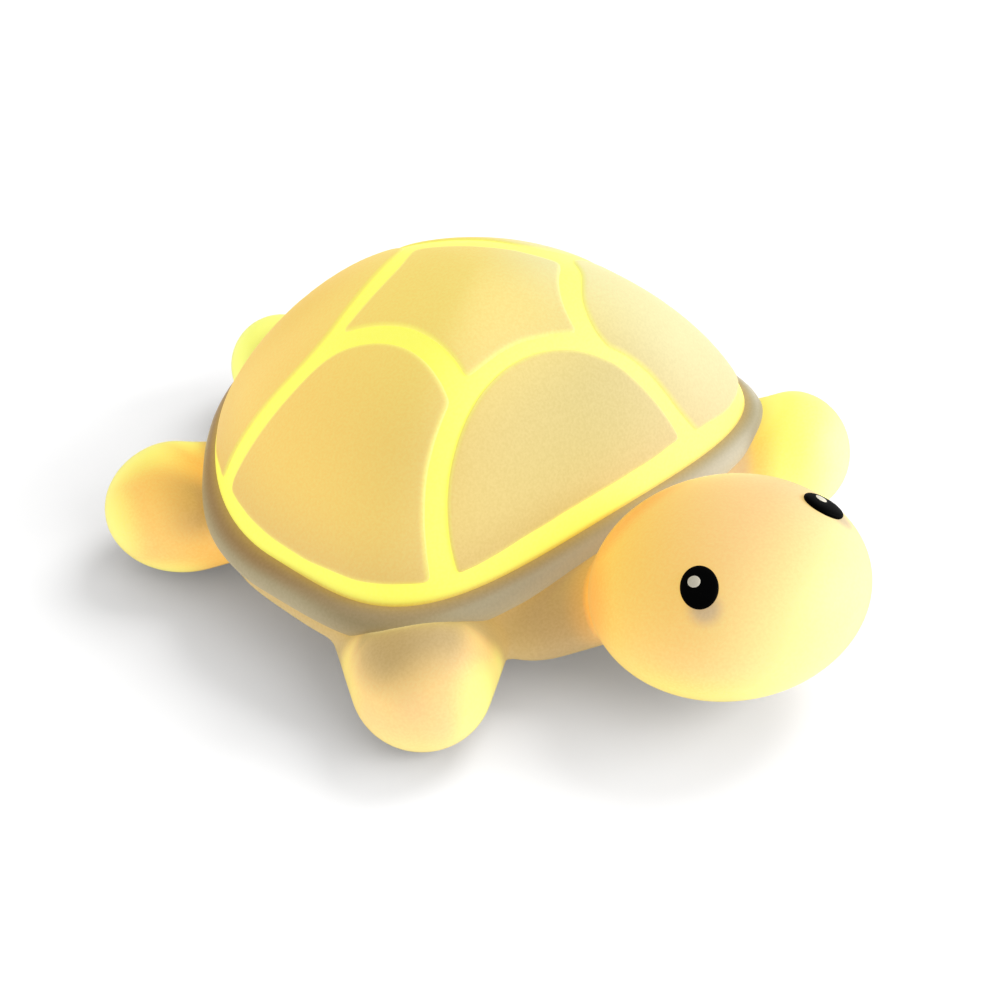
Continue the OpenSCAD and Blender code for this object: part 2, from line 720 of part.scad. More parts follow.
// Control board on the base cover's posts, with the switch and the port under it
board_end = core_span + room_r - 0.5;
tongue_w = socket_w + 1;
module control_board() {
  color("#2F6B4F") difference() {
    translate([0, 0, board_z]) linear_extrude(board_t) {
      translate([board_x0, core_y - board_w / 2]) square([board_x1 - board_x0, board_w]);
      translate([board_x0, core_y - tongue_w / 2]) square([board_end - board_x0, tongue_w]);
    }
    post_places() translate([0, 0, board_z - 1]) cylinder(r = board_screw_r + drop_gap, h = board_t + 2);
  }
}
module board_screws() {
  color("#B8B8B8") post_places() {
    translate([0, 0, board_top]) cylinder(r = board_head_r, h = board_head_h);
    translate([0, 0, board_top - board_screw_l]) cylinder(r = board_screw_r, h = board_screw_l + 0.2);
  }
}

// Charging socket: an open metal shell with a contact tongue, hung under the board
module mouth_plan(w, h) {
  r = h / 2;
  for (s = [-1, 1]) translate([s * (w / 2 - r), 0]) circle(r);
  square([w - h, h], center = true);
}
module charging_socket() {
  color("#C4C4C8") translate([port_x - soft_gap - port_l, port_y, socket_z + socket_h / 2])
    rotate([90, 0, 90]) {
      difference() {
        linear_extrude(port_l) mouth_plan(socket_w, socket_h);
        translate([0, 0, 1]) linear_extrude(port_l) mouth_plan(port_w, port_h);
      }
      translate([-port_w * 0.4, -tongue_t / 2, 0.5]) cube([port_w * 0.8, tongue_t, port_l - 1.5]);
    }
}

// Port flap: a soft cover that lies in the recess and swings on its front edge
flap_x = port_x + soft_gap;
flap_z0 = case_z + move_gap;
flap_z1 = groove_z0 - move_gap;
hinge_y = port_y - flap_w / 2 + flap_t / 2;
module port_flap() {
  color("#F6D28A") {
    translate([flap_x, hinge_y, flap_z0])
      cube([flap_t, port_y + flap_w / 2 - hinge_y, flap_z1 - flap_z0]);
    translate([flap_x + flap_t / 2, hinge_y, flap_z0]) cylinder(r = flap_t / 2, h = flap_z1 - flap_z0);
  }
}

// Switch, its plunger and the button that presses it
plunger_in = plunger_out;
switch_z = board_z - switch_h;
module switch_body() {
  color("#222222") translate([button_x, core_y, 0]) difference() {
    translate([-switch_w / 2, -switch_w / 2, switch_z]) cube([switch_w, switch_w, switch_h]);
    translate([0, 0, switch_z - 1])
      cylinder(r = plunger_r + slide_gap, h = 1 + plunger_in + button_travel + move_gap);
  }
}
module switch_plunger() {
  color("#E8E4DA") translate([button_x, core_y, switch_z - plunger_out])
    cylinder(r = plunger_r, h = plunger_out + plunger_in);
}
module power_button() {
  top = switch_z - plunger_out;
  color("#D8D3C8") translate([button_x, core_y, 0]) {
    translate([0, 0, cover_z + button_recess])
      cylinder(r = button_r, h = floor_z + soft_gap - cover_z - button_recess);
    translate([0, 0, floor_z + soft_gap]) cylinder(r = button_r + button_lip, h = button_lip_t);
    translate([0, 0, floor_z + soft_gap]) cylinder(r = plunger_r, h = top - floor_z - soft_gap);
  }
}

// Battery on foam tape, with its leads and plug
plug_z = board_top + hull_wall + soft_gap;
lead_z = plug_z + plug_h / 2;
module battery_cell() {
  color("#C9CDD2") translate([cell_x1 - cell_l, core_y - cell_w / 2, floor_z + tape_t])
    cube([cell_l, cell_w, cell_t]);
}
module battery_tape() {
  color("#4A4A4A") translate([cell_x1 - cell_l + tape_in, core_y - cell_w / 2 + tape_in, floor_z])
    cube([cell_l - 2 * tape_in, cell_w - 2 * tape_in, tape_t]);
}
module battery_lead(s) {
  translate([cell_x1, core_y + s * lead_gap, lead_z]) rotate([0, 90, 0])
    cylinder(r = lead_r, h = plug_x - cell_x1);
}
module battery_lead_red() {
  color("#B3261E") battery_lead(1);
}
module battery_lead_black() {
  color("#1C1C1C") battery_lead(-1);
}
module battery_plug() {
  color("#EDE9DC") translate([plug_x, core_y - plug_w / 2, plug_z]) cube([plug_l, plug_w, plug_h]);
}
module battery_socket() {
  w = plug_w + 2 * (hull_wall + soft_gap);
  h = plug_h + 2 * (hull_wall + soft_gap);
  color("#DAD6C8") difference() {
    translate([plug_x + plug_out, core_y - w / 2, board_top]) cube([plug_l, w, h]);
    translate([plug_x + plug_out - 1, core_y - plug_w / 2 - soft_gap, plug_z - soft_gap])
      cube([plug_l - plug_out + 1 + soft_gap, plug_w + 2 * soft_gap, plug_h + 2 * soft_gap]);
  }
}

// The lamp stands with the middle of its length over the origin
module stood() {
  translate([0, (head_y + head_ry - tail_y - tail_r) / 2, 0]) children();
}

stood() carapace();
stood() scutes();
stood() shell_rim();
stood() body_skin();
stood() right_eye();
stood() left_eye();
stood() eye_glints();
stood() base_cover();
stood() anti_slip_pads();
stood() core_case();
stood() case_screws();
stood() diffuser();
stood() led_board();
stood() led_chips();
stood() led_pins();
stood() control_board();
stood() board_screws();
stood() charging_socket();
stood() port_flap();
stood() switch_body();
stood() switch_plunger();
stood() power_button();
stood() battery_cell();
stood() battery_tape();
stood() battery_lead_red();
stood() battery_lead_black();
stood() battery_plug();
stood() battery_socket();
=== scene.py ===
from math import acos, atan2, cos, degrees, exp, hypot, log, pi, radians, sin, sqrt

import bpy
from mathutils import Matrix, Vector
from mathutils.kdtree import KDTree


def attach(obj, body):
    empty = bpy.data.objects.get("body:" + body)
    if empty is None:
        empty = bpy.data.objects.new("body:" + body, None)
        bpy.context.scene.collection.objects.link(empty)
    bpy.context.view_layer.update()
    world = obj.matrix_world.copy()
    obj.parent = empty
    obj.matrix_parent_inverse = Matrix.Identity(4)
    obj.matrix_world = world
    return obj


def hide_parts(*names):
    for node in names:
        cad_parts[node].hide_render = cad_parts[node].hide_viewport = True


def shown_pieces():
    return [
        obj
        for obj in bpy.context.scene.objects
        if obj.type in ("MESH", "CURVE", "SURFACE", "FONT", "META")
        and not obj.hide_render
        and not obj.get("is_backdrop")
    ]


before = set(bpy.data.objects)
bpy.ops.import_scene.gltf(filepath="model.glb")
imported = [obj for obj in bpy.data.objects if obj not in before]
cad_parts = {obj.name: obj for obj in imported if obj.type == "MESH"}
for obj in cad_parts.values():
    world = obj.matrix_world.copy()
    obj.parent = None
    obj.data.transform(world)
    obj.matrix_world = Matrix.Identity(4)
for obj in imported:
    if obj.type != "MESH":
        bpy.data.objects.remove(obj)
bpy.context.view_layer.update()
scene = bpy.context.scene

# Sizes in millimetres and degrees, measured from the shell's widest line; STAND moves them over the origin.
MM = 0.001
STAND = 8.25

# Shell: its plan, the dome on it, the bead round its foot and the plates on top
SHELL_HALF_W, SHELL_FRONT, SHELL_BACK = 50, 33, 52
FRONT_SQUARE, BACK_SQUARE = 4.0, 1.75
FLARE, FLARE_AT, FLARE_SPREAD, FLARE_LOW = 0.6, 11, 30, 8
DOME_H, CROWN_ROUND, FLANK, DOME_WALL, DOME_SWELL = 37, 1.8, 0.79, 2.4, 0.4
RIM_FOOT, RIM_H, RIM_OUT, RIM_IN, RIM_LIP = 15, 5, 3.5, 3.2, 0.8
BEAD_FOOT, BEAD_SQUARE = 2.2, 2.3
DOME_Z = RIM_FOOT + RIM_H
SCUTE_TOP, SCUTE_EDGE, SCUTE_ROOT, SCUTE_ROLL, SCUTE_MORE = 0.45, 0.15, 0.35, 1.2, 0.45

# Body: balls with their middles and half sizes, legs with their turn and lean
HEAD_AT, HEAD_R = (0, -61, 20.5), (25.7, 22.7, 15.6)
NECK_AT, NECK_R = (0, -49, 16.8), (11.5, 11.5, 5.6)
CHEST_AT, CHEST_R = (17, -34, 9.5), (14, 11.3, 5.6)
TAIL_AT, TAIL_R = (0, 57, 10.8), (10.7, 10.3, 10.5)
TAIL_ROOT_AT, TAIL_ROOT_R = (0, 35, 10.6), (12.2, 10.2, 6.1)
FRONT_LEG, FRONT_FOOT_R, FRONT_TURN, FRONT_LEAN = (47.7, -35.4), (11.4, 12, 11.8), -42, 1.2
REAR_LEG, REAR_FOOT_R, REAR_TURN, REAR_LEAN = (44, 32), (15.2, 14.2, 11.5), 22, 0
LEG_ROOT_BACK, LEG_ROOT_Z = 14, 9.8
LEG_ROOT_R = (LEG_ROOT_BACK * 0.7, 15.5, 6)
BELLY_OUT, BELLY_IN, BELLY_DEEP, BELLY_SQUARE, BELLY_SWELL, BELLY_CAP = 2, 14, 6, 2.6, 1.1, 0.6
TUCK_FROM, TUCK_TO, TUCK_TOP, TUCK_LIFT, TUCK_SHARE = 2, 6, 0.4, 0.5, 0.88
TUCK_CREASE, TUCK_ROUND, FRONT_SLOPE, REAR_SLOPE, HEAD_CLEAR = 0.05, 1.45, 1.3, 0.75, 1.05
SOLE_Z, SKIN_VOXEL, SKIN_SOFTEN, SKIN_TURNS = 0.4, 0.8, 0.5, 14
CORE_Y, CORE_SPAN, CORE_R, CORE_GAP, CORE_ROOM_H, CORE_ROOM_Z = 5, 12, 22.5, 0.3, 20, -1

# Eyes: studs on the head, each with a dot let into it
EYE_X, EYE_LIFT, EYE_R, EYE_OUT, EYE_IN = 15.8, 70, 3.3, 0.8, 0.8
EYE_TALL, EYE_SLIM, EYE_TURN, EYE_FULL = 1.16, 0.95, -18, 2.6
DOT_R, DOT_AT, DOT_SINK, DOT_THICK = 1.1, (-0.5, 0.95), 0.05, 0.16


def placed(x, y, z):
    return Vector((x * MM, (y + STAND) * MM, z * MM))


def measured(v):
    """A vertex's place in these sizes, the other way round from placed."""
    return v.co.x / MM, v.co.y / MM - STAND, v.co.z / MM


def heading(x, y):
    return degrees(atan2(y, x))


def polar(p, r):
    return r * cos(radians(p)), r * sin(radians(p))


def turned(x, y, angle):
    c, s = cos(radians(angle)), sin(radians(angle))
    return x * c - y * s, x * s + y * c


def seep(x, low, high):
    """A soft step from 0 at low to 1 at high."""
    t = min(1.0, max(0.0, (x - low) / (high - low)))
    return t * t * (3 - 2 * t)


def in_ball(at, r, x, y, z):
    """A spot's place in a stretched ball: 0 in its middle, 1 on its face."""
    return sqrt(sum(((q - c) / k) ** 2 for q, c, k in zip((x, y, z), at, r)))


# Working by hand: what is selected, what is being edited, and finishing modifiers

def let_go():
    if bpy.context.object and bpy.context.object.mode != "OBJECT":
        bpy.ops.object.mode_set(mode="OBJECT")
    bpy.ops.object.select_all(action="DESELECT")


def take(piece):
    let_go()
    piece.select_set(True)
    bpy.context.view_layer.objects.active = piece


def open_mesh(piece, kind="VERT"):
    take(piece)
    bpy.ops.object.mode_set(mode="EDIT")
    bpy.ops.mesh.select_mode(type=kind)
    bpy.ops.mesh.select_all(action="SELECT")


def close_mesh():
    bpy.ops.object.mode_set(mode="OBJECT")


def just_made(name):
    piece = bpy.context.object
    piece.name = name
    piece.data.name = name
    return piece


def new_ball(name, segments, rings):
    let_go()
    bpy.ops.mesh.primitive_uv_sphere_add(segments=segments, ring_count=rings, radius=1)
    return just_made(name)


def work(piece, kind, **settings):
    take(piece)
    modifier = piece.modifiers.new(kind.lower(), kind)
    for key, value in settings.items():
        setattr(modifier, key, value)
    bpy.ops.object.modifier_apply(modifier=modifier.name)


def fuse(name, pieces):
    let_go()
    for piece in pieces:
        piece.select_set(True)
    bpy.context.view_layer.objects.active = pieces[0]
    bpy.ops.object.join()
    return just_made(name)


def settle(piece):
    take(piece)
    bpy.ops.object.transform_apply(location=True, rotation=True, scale=True)


def outward(piece):
    open_mesh(piece)
    bpy.ops.mesh.normals_make_consistent(inside=False)
    close_mesh()


def smooth(piece, angle=180):
    take(piece)
    if angle >= 180:
        bpy.ops.object.shade_smooth()
    else:
        bpy.ops.object.shade_smooth_by_angle(angle=radians(angle))


# Shell plan and dome: direction p in degrees, share a of the way from crown to base

def reach(p, grow=0.0):
    c, s = abs(cos(radians(p))), sin(radians(p))
    n, length = (FRONT_SQUARE, SHELL_FRONT) if s < 0 else (BACK_SQUARE, SHELL_BACK)
    return ((c / (SHELL_HALF_W + grow)) ** n + (abs(s) / (length + grow)) ** n) ** (-1 / n)


def beyond(x, y):
    """How far a spot stands outside the shell's plan."""
    return hypot(x, y) - reach(heading(x, y))


def flare(p):
    """How far the shell's edge stands out over the roots of the rear legs."""
    side = heading(abs(cos(radians(p))), sin(radians(p)))
    return FLARE * (1 - seep(abs(side - FLARE_AT), 0, FLARE_SPREAD))


def on_dome(p, a, grow=0.0):
    r = a * reach(p, grow) + flare(p) * a ** FLARE_LOW
    rise = max(0.0, 1 - a ** CROWN_ROUND) ** FLANK
    return Vector((*polar(p, r), DOME_Z + (DOME_H + grow) * rise))


def make_dome():
    dome = new_ball("dome_shell", 168, 84)
    open_mesh(dome)
    bpy.ops.mesh.bisect(plane_co=(0, 0, 0), plane_no=(0, 0, 1), clear_inner=True)
    close_mesh()
    for v in dome.data.vertices:
        share = min(1, hypot(v.co.x, v.co.y))
        v.co = placed(*on_dome(heading(v.co.x, v.co.y), share, DOME_SWELL))
    work(dome, "SOLIDIFY", thickness=DOME_WALL * MM, offset=-1)
    smooth(dome, 50)
    return dome


# Scutes: each starts as a round blank whose caps are inset in rings, and is then laid on the dome.
# Outlines give direction in degrees and share of the way to the base; a third value marks a corner.
FRONT_PLATE = [
    (221.4, 0.962, 1), (220, 0.913), (219.1, 0.863), (218.6, 0.806), (218.8, 0.745), (220.2, 0.674), (223, 0.613),
    (227.7, 0.562), (236.6, 0.525), (248, 0.515), (262, 0.523), (275, 0.546), (285.6, 0.583), (292.8, 0.634),
    (297.3, 0.689), (299.9, 0.775), (301.4, 0.855), (302.1, 0.940, 1), (294, 0.943), (286.4, 0.945), (277, 0.946),
    (268, 0.946), (259, 0.946), (250.6, 0.946), (243, 0.948), (233.6, 0.952), (226.5, 0.958)]
RIGHT_PLATE = [
    (160.7, 0.962), (159.7, 0.925), (159.3, 0.86), (159.3, 0.79), (159.6, 0.71), (159.9, 0.65), (160.6, 0.6),
    (163, 0.546), (167.8, 0.497), (175.6, 0.452), (185.7, 0.427), (195.8, 0.424), (204, 0.445), (210.6, 0.492),
    (215.1, 0.553, 1), (213.4, 0.618), (212.5, 0.678), (212.3, 0.755), (213.2, 0.84), (214.5, 0.909),
    (215.7, 0.963, 1), (212.4, 0.961), (206.8, 0.962), (200.6, 0.965), (191.8, 0.969), (186, 0.970), (180, 0.969),
    (173, 0.967), (167.7, 0.966), (163.6, 0.966)]
RIGHT_REAR_PLATE = [
    (154.7, 0.977, 1), (153, 0.927), (152.3, 0.86), (152.1, 0.79), (152.2, 0.72), (151.2, 0.63), (147.5, 0.55),
    (141.1, 0.491), (131, 0.432), (119, 0.393), (106, 0.374), (95, 0.374), (88, 0.395), (85, 0.44), (84, 0.52),
    (83.5, 0.68), (83.5, 0.82), (83.5, 0.966, 1), (100, 0.972), (115, 0.977), (130, 0.981), (143, 0.984)]
LEFT_REAR_PLATE = [
    (77.5, 0.962, 1), (77.5, 0.82), (77.3, 0.68), (77, 0.57), (75.5, 0.48), (70, 0.408), (58, 0.352), (44, 0.322),
    (29, 0.303), (17, 0.302), (8, 0.335), (4, 0.405), (3.2, 0.5), (3, 0.65), (3, 0.8), (3, 0.958, 1), (20, 0.96),
    (38, 0.962), (56, 0.962), (68, 0.962)]
LEFT_PLATE = [
    (308.5, 0.946, 1), (307.2, 0.883), (306.8, 0.81), (306.4, 0.748), (304.6, 0.674), (300.8, 0.609, 1),
    (302, 0.544), (308.8, 0.453), (320, 0.388), (332, 0.368), (344, 0.382), (351, 0.425), (355, 0.5),
    (356.6, 0.62), (357, 0.78), (357, 0.967, 1), (346, 0.966), (334, 0.963), (320, 0.957)]
CROWN_PLATE = [
    (220.9, 0.483, 1), (215.9, 0.421), (205.6, 0.359), (191.5, 0.343), (178, 0.359), (167, 0.399), (158.7, 0.453),
    (153.9, 0.5, 1), (147, 0.421), (134, 0.338), (115, 0.29), (92, 0.3, 1), (76, 0.21), (58, 0.175), (39, 0.163),
    (15, 0.174), (359, 0.205), (338.5, 0.289, 1), (323, 0.285), (307, 0.345), (296.4, 0.431), (291.7, 0.511, 1),
    (279.8, 0.480), (264.7, 0.456), (248.3, 0.443), (233.9, 0.449)]
PLATES = (FRONT_PLATE, RIGHT_PLATE, RIGHT_REAR_PLATE, LEFT_REAR_PLATE, LEFT_PLATE, CROWN_PLATE)

# Spots along a traced outline, turns of easing it, spots along a plate's edge, and how deep a blank is inset
TRACE_SPOTS, TRACE_TURNS, EDGE_SPOTS, BLANK_INSET = 480, 5, 192, 0.95
# The plate's rings, from its edge to its middle
DRAWN_IN = [1, 0.988, 0.976, 0.962, 0.947, 0.93, 0.91, 0.885, 0.855, 0.82, 0.77, 0.7, 0.6, 0.49, 0.37, 0.25, 0.12]


def bent(outline, steps=24):
    """A curve through the outline's points in the dome's plan, broken at its corners."""
    n = len(outline)
    at = [Vector(polar(q[0], q[1])) for q in outline]
    corner = [len(q) > 2 for q in outline]
    spots = []
    for k in range(n):
        here, there = at[k], at[(k + 1) % n]
        before = here * 2 - there if corner[k] else at[k - 1]
        after = there * 2 - here if corner[(k + 1) % n] else at[(k + 2) % n]
        for j in range(steps):
            t = j / steps
            spots.append((here * 2 + (there - before) * t + (before * 2 - here * 5 + there * 4 - after) * t * t
                          + (here * 3 - before - there * 3 + after) * t ** 3) / 2)
    return spots


def on_plan(q, grow=0.0):
    return on_dome(heading(q.x, q.y), min(0.999, q.length), grow)


def evenly(spots, count):
    """The same closed curve in even steps as measured on the dome."""
    high = [on_plan(q) for q in spots]
    steps = [(high[(k + 1) % len(spots)] - high[k]).length for k in range(len(spots))]
    total, walked, k, out = sum(steps), 0.0, 0, []
    for j in range(count):
        goal = total * j / count
        while walked + steps[k] < goal:
            walked += steps[k]
            k += 1
        out.append(spots[k].lerp(spots[(k + 1) % len(spots)], (goal - walked) / steps[k]))
    return out


def eased(spots, turns):
    """The same closed curve with its corners rounded a little more at each turn."""
    n = len(spots)
    for _ in range(turns):
        spots = [(spots[k - 1] + spots[k] * 2 + spots[(k + 1) % n]) / 4 for k in range(n)]
    return spots


def widened(spots, by):
    """The same closed curve pushed outward by a length measured on the dome."""
    wound = sum(spots[k - 1].x * q.y - q.x * spots[k - 1].y for k, q in enumerate(spots))
    side, out = (1 if wound > 0 else -1), []
    for k, q in enumerate(spots):
        along = spots[(k + 1) % len(spots)] - spots[k - 1]
        push = Vector((along.y, -along.x)).normalized() * 0.001 * side
        out.append(q + push * (by / (on_plan(q + push) - on_plan(q)).length))
    return out


def make_blank(ring):
    let_go()
    bpy.ops.mesh.primitive_cylinder_add(vertices=EDGE_SPOTS, radius=1, depth=0.2, end_fill_type="NGON")
    blank = just_made("scute_blank")
    for side in (1, -1):
        open_mesh(blank, "FACE")
        bpy.ops.mesh.select_all(action="DESELECT")
        close_mesh()
        for face in blank.data.polygons:
            face.select = face.normal.z * side > 0.9
        bpy.ops.object.mode_set(mode="EDIT")
        for _ in DRAWN_IN[1:]:
            bpy.ops.mesh.inset(thickness=ring)
        bpy.ops.mesh.poke()
        close_mesh()
    return blank


def make_plate(outline):
    rows = len(DRAWN_IN)
    ring = BLANK_INSET / rows
    plate = make_blank(ring)
    traced = eased(evenly(bent(outline), TRACE_SPOTS), TRACE_TURNS)
    spots = evenly(widened(traced, SCUTE_MORE), EDGE_SPOTS)
    middle = sum(spots, Vector((0, 0))) / EDGE_SPOTS
    border = KDTree(EDGE_SPOTS)
    for k, spot in enumerate(spots):
        border.insert(on_plan(spot), k)
    border.balance()
    step = ring / cos(pi / EDGE_SPOTS)
    inset = plate.data.attributes.new("inset", "FLOAT", "POINT")
    for v in plate.data.vertices:
        row = round((1 - hypot(v.co.x, v.co.y)) / step)
        k = round(heading(v.co.x, v.co.y) * EDGE_SPOTS / 360) % EDGE_SPOTS
        q = middle.lerp(spots[k], DRAWN_IN[row]) if row < rows else middle
        inset.data[v.index].value = away = border.find(on_plan(q))[2]
        if v.co.z > 0:
            roll = min(1.0, away / SCUTE_ROLL)
            grow = DOME_SWELL - SCUTE_EDGE + (SCUTE_TOP + SCUTE_EDGE) * sqrt(1 - (1 - roll) ** 2)
        else:
            grow = -SCUTE_ROOT
        v.co = placed(*on_plan(q, grow))
    outward(plate)
    return plate


def make_scutes():
    scutes = fuse("scute_plates", [make_plate(outline) for outline in PLATES])
    smooth(scutes)
    return scutes


def make_rim():
    let_go()
    bpy.ops.mesh.primitive_torus_add(major_segments=192, minor_segments=36, major_radius=1, minor_radius=0.25)
    rim = just_made("rim_bead")
    for v in rim.data.vertices:
        t = atan2(v.co.z, hypot(v.co.x, v.co.y) - 1)
        c, s = cos(t), sin(t)
        full = (abs(c) ** BEAD_SQUARE + abs(s) ** BEAD_SQUARE) ** (-1 / BEAD_SQUARE)
        p = heading(v.co.x, v.co.y)
        stand = RIM_OUT - seep(sin(radians(p)), 0.2, 0.8)  # 1 mm slimmer behind
        out = c * full * (stand if c > 0 else RIM_IN)
        if c > 0 and s < 0:
            out = BEAD_FOOT * s * s + c * (stand - BEAD_FOOT * s * s)
        r = reach(p, out) + flare(p) * (1 + seep(out, 0, 3))
        high = RIM_H / 2 * (1 + s * full)
        if s > 0:
            high += RIM_LIP * s * seep(out, 3.2, 0.2)  # rising to the dome's foot
        v.co = placed(*polar(p, r), RIM_FOOT + high)
    outward(rim)
    smooth(rim)
    return rim


# Body: balls stretched and hulled into limbs, then fused into one soft skin

def make_ball(at, r, turn=0.0):
    ball = new_ball("body_ball", 72, 36)
    ball.scale = Vector(r) * MM
    ball.rotation_euler = (0, 0, radians(turn))
    ball.location = placed(*at)
    settle(ball)
    return ball


def make_limb(balls):
    limb = fuse("body_limb", balls)
    open_mesh(limb)
    bpy.ops.mesh.convex_hull()
    close_mesh()
    return limb


def make_leg(at, r, turn, lean, side):
    x, y = at
    foot = make_ball((side * x, y, r[2]), r, side * turn)
    c, s = cos(radians(turn)), sin(radians(turn))
    root_x, root_y = x - LEG_ROOT_BACK * c - lean * s, y - LEG_ROOT_BACK * s + lean * c
    root = make_ball((side * root_x, root_y, LEG_ROOT_Z), LEG_ROOT_R, side * turn)
    return make_limb([foot, root])


def make_belly():
    belly = new_ball("body_belly", 144, 48)
    for v in belly.data.vertices:
        p = heading(v.co.x, v.co.y)
        flat = min(1.0, hypot(v.co.x, v.co.y))
        if v.co.z < -1e-4:
            grow = (BELLY_OUT + BELLY_IN) * flat ** (2 / BELLY_SQUARE) - BELLY_IN
            grow += BELLY_SWELL * sin(pi * min(1, -v.co.z / 0.75))
            r = reach(p, grow) if flat > 0.02 else 0
            z = RIM_FOOT - BELLY_DEEP * (-v.co.z) ** (2 / BELLY_SQUARE)
        else:
            r, z = flat * reach(p, BELLY_OUT), RIM_FOOT + BELLY_CAP * min(1, v.co.z * 6)
        v.co = placed(*polar(p, r), z)
    return belly


def tuck(body):
    """Draw the limbs' tops down where they run in under the rim."""
    for v in body.data.vertices:
        x, y, z = measured(v)
        off = beyond(x, y)
        clear = seep(off, TUCK_FROM, TUCK_TO)
        slope = FRONT_SLOPE if y < 0 else REAR_SLOPE
        top = RIM_FOOT + TUCK_TOP + TUCK_LIFT * clear + slope * max(0, off - TUCK_FROM)
        if in_ball(HEAD_AT, HEAD_R, x, y, z) > HEAD_CLEAR:
            soft = TUCK_CREASE + TUCK_ROUND * clear
            over = (z - top) / soft
            v.co.z -= TUCK_SHARE * soft * (max(0, over) + log(1 + exp(-abs(over)))) * MM


def make_core_room():
    """The opening for the core: a cylinder drawn out sideways."""
    let_go()
    bpy.ops.mesh.primitive_cylinder_add(vertices=128, radius=(CORE_R + CORE_GAP) * MM, depth=CORE_ROOM_H * MM,
                                        location=placed(0, CORE_Y, CORE_ROOM_Z))
    room = just_made("core_room")
    settle(room)
    for v in room.data.vertices:
        v.co.x += CORE_SPAN * MM * (1 if v.co.x > 1e-6 else -1 if v.co.x < -1e-6 else 0)
    return room


def make_body():
    limbs = [make_belly(), make_ball(HEAD_AT, HEAD_R)]
    chest = [make_ball((side * CHEST_AT[0], *CHEST_AT[1:]), CHEST_R) for side in (1, -1)]
    limbs.append(make_limb([*chest, make_ball(NECK_AT, NECK_R)]))
    for side in (1, -1):
        limbs.append(make_leg(FRONT_LEG, FRONT_FOOT_R, FRONT_TURN, FRONT_LEAN, side))
        limbs.append(make_leg(REAR_LEG, REAR_FOOT_R, REAR_TURN, REAR_LEAN, side))
    limbs.append(make_limb([make_ball(TAIL_AT, TAIL_R), make_ball(TAIL_ROOT_AT, TAIL_ROOT_R)]))
    body = fuse("turtle_body", limbs)
    work(body, "REMESH", mode="VOXEL", voxel_size=SKIN_VOXEL * MM)
    tuck(body)
    work(body, "SMOOTH", factor=SKIN_SOFTEN, iterations=SKIN_TURNS)
    for v in body.data.vertices:
        v.co.z = max(v.co.z, SOLE_Z * MM)
    room = make_core_room()
    work(body, "BOOLEAN", operation="DIFFERENCE", object=room, solver="EXACT")
    bpy.data.objects.remove(room)
    smooth(body, 60)
    return body


# Eyes: laid out flat, then stood square to the head's skin

def eye_frame():
    k = sqrt(1 - (EYE_X / HEAD_R[0]) ** 2)
    lift = radians(EYE_LIFT)
    at = Vector((EYE_X, HEAD_AT[1] - HEAD_R[1] * k * cos(lift), HEAD_AT[2] + HEAD_R[2] * k * sin(lift)))
    n = Vector(((at[j] - HEAD_AT[j]) / HEAD_R[j] ** 2 for j in range(3))).normalized()
    return at, Matrix.Rotation(atan2(n.y, n.x), 3, "Z") @ Matrix.Rotation(acos(n.z), 3, "Y")


EYE_AT, EYE_STAND = eye_frame()


def in_eye(side, x, y, z):
    q = EYE_AT + EYE_STAND @ Vector((x, y, z))
    return placed(side * q.x, q.y, q.z)


def eye_swell(flat):
    return (1 - flat ** EYE_FULL) ** (1 / EYE_FULL) if flat < 1 else 0


def make_eye(name, side):
    eye = new_ball(name, 64, 32)
    for v in eye.data.vertices:
        high = EYE_OUT if v.co.z > 0 else -EYE_IN
        x, y = turned(v.co.x * EYE_R * EYE_TALL, v.co.y * EYE_R * EYE_SLIM, EYE_TURN)
        v.co = in_eye(side, x, y, eye_swell(hypot(v.co.x, v.co.y)) * high)
    outward(eye)
    smooth(eye)
    return eye


def make_dot(side):
    dot = new_ball("eye_dot", 40, 20)
    for v in dot.data.vertices:
        x, y = DOT_AT[0] + v.co.x * DOT_R, DOT_AT[1] + v.co.y * DOT_R
        tall, slim = turned(x, y, -EYE_TURN)
        seat = eye_swell(hypot(tall / EYE_TALL, slim / EYE_SLIM) / EYE_R) * EYE_OUT
        v.co = in_eye(side, x, y, seat - DOT_SINK + v.co.z * DOT_THICK)
    outward(dot)
    return dot


# Finishes: grain is noise with its scale per metre, on the piece's own coordinates
# The painted attribute holds the night light's glow mixed with painted shade and painted highlights for the lamps
# outside
GLOW_AND_SHADING = "glow_and_shading"
SPECK, FINE, MOTTLE = 1900, 1500, 90
SILICONE_ROUGH = (0.5, 0.62)


def tone(r, g, b):
    return tuple(((c / 255 + 0.055) / 1.055) ** 2.4 if c > 10 else c / 255 / 12.92 for c in (r, g, b))


def shader_of(finish):
    return next(n for n in finish.node_tree.nodes if n.type == "BSDF_PRINCIPLED")


def new_finish(name):
    finish = bpy.data.materials.new(name)
    finish.use_nodes = True
    nodes, links = finish.node_tree.nodes, finish.node_tree.links
    spot = nodes.new("ShaderNodeTexCoord")
    return finish, nodes, links, shader_of(finish), spot.outputs["Object"]


def grain(nodes, links, spot, scale, detail=3.0):
    noise = nodes.new("ShaderNodeTexNoise")
    noise.inputs["Scale"].default_value = scale
    noise.inputs["Detail"].default_value = detail
    links.new(spot, noise.inputs["Vector"])
    return noise.outputs["Fac"]


def between(nodes, links, fac, low, high):
    ramp = nodes.new("ShaderNodeValToRGB")
    start, end = ramp.color_ramp.elements
    start.position, end.position = 0.35, 0.65
    start.color, end.color = (*low, 1), (*high, 1)
    links.new(fac, ramp.inputs["Fac"])
    return ramp.outputs["Color"]


def span(nodes, links, fac, low, high):
    spread = nodes.new("ShaderNodeMapRange")
    spread.inputs["To Min"].default_value, spread.inputs["To Max"].default_value = low, high
    links.new(fac, spread.inputs["Value"])
    return spread.outputs["Result"]


